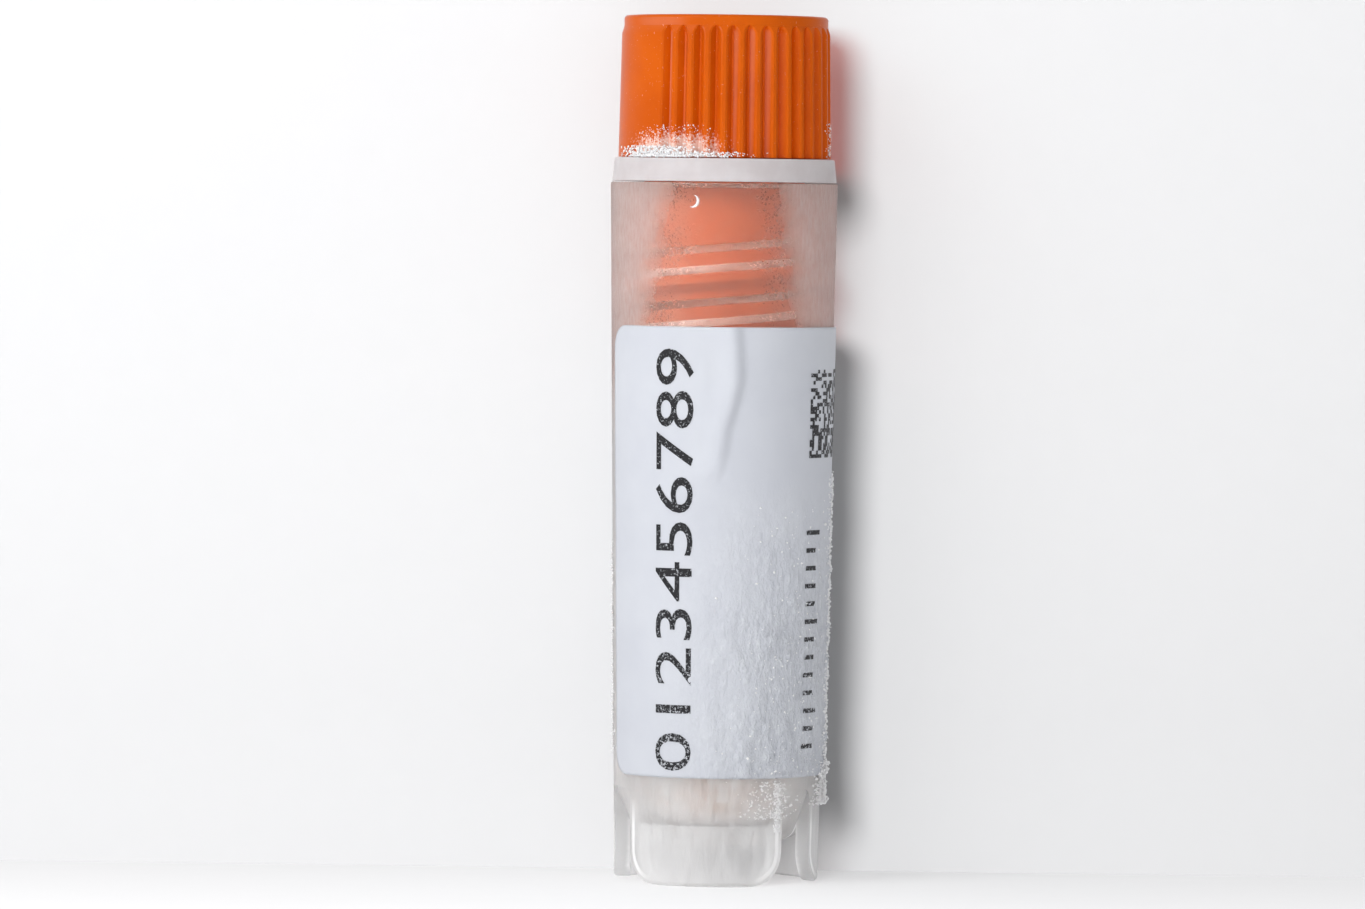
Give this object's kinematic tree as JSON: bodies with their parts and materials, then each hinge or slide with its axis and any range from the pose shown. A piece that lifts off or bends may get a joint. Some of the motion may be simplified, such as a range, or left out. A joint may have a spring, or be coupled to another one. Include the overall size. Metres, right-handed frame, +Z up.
{
  "type": "cryovial",
  "caption": "Self-standing cryogenic vial with an internally threaded neck, ribbed orange screw cap, silicone washer, wrap-round label and frozen sample.",
  "frame": {"origin": "centre of the foot's underside, on the vial's axis", "axes": "+Z up the vial's axis from the foot to the cap; -Y is the front, with the label's start at the left"},
  "size_m": [0.0124, 0.0124, 0.0473],
  "materials": {
    "tube_polypropylene": "natural translucent polypropylene with frost on it",
    "frozen_medium": "frozen cell suspension, pale beige, icy",
    "label_film": "white satin label film with frost specks",
    "washer_silicone": "white silicone, satin",
    "cap_polypropylene": "orange moulded polypropylene, satin, frost at the lower edge"
  },
  "bodies": {
    "vial": {"vial_tube": "tube_polypropylene", "frozen_sample": "frozen_medium", "wrap_label": "label_film"},
    "seal": {"sealing_washer": "washer_silicone"},
    "cap": {"screw_cap": "cap_polypropylene"}
  },
  "joints": [
    {"name": "cap_lift", "type": "slide", "parent": "vial", "child": "seal", "axis": [0, 0, 1], "range_m": [0, 0.01087]},
    {"name": "cap_turn", "type": "hinge", "parent": "seal", "child": "cap", "pos_m": [0, 0, 0.0394], "axis": [0, 0, 1], "range_deg": [0, 1350]}
  ],
  "couplings": [
    {"joint": "cap_turn", "follows": "cap_lift", "rad_per_m": 2166.6}
  ]
}
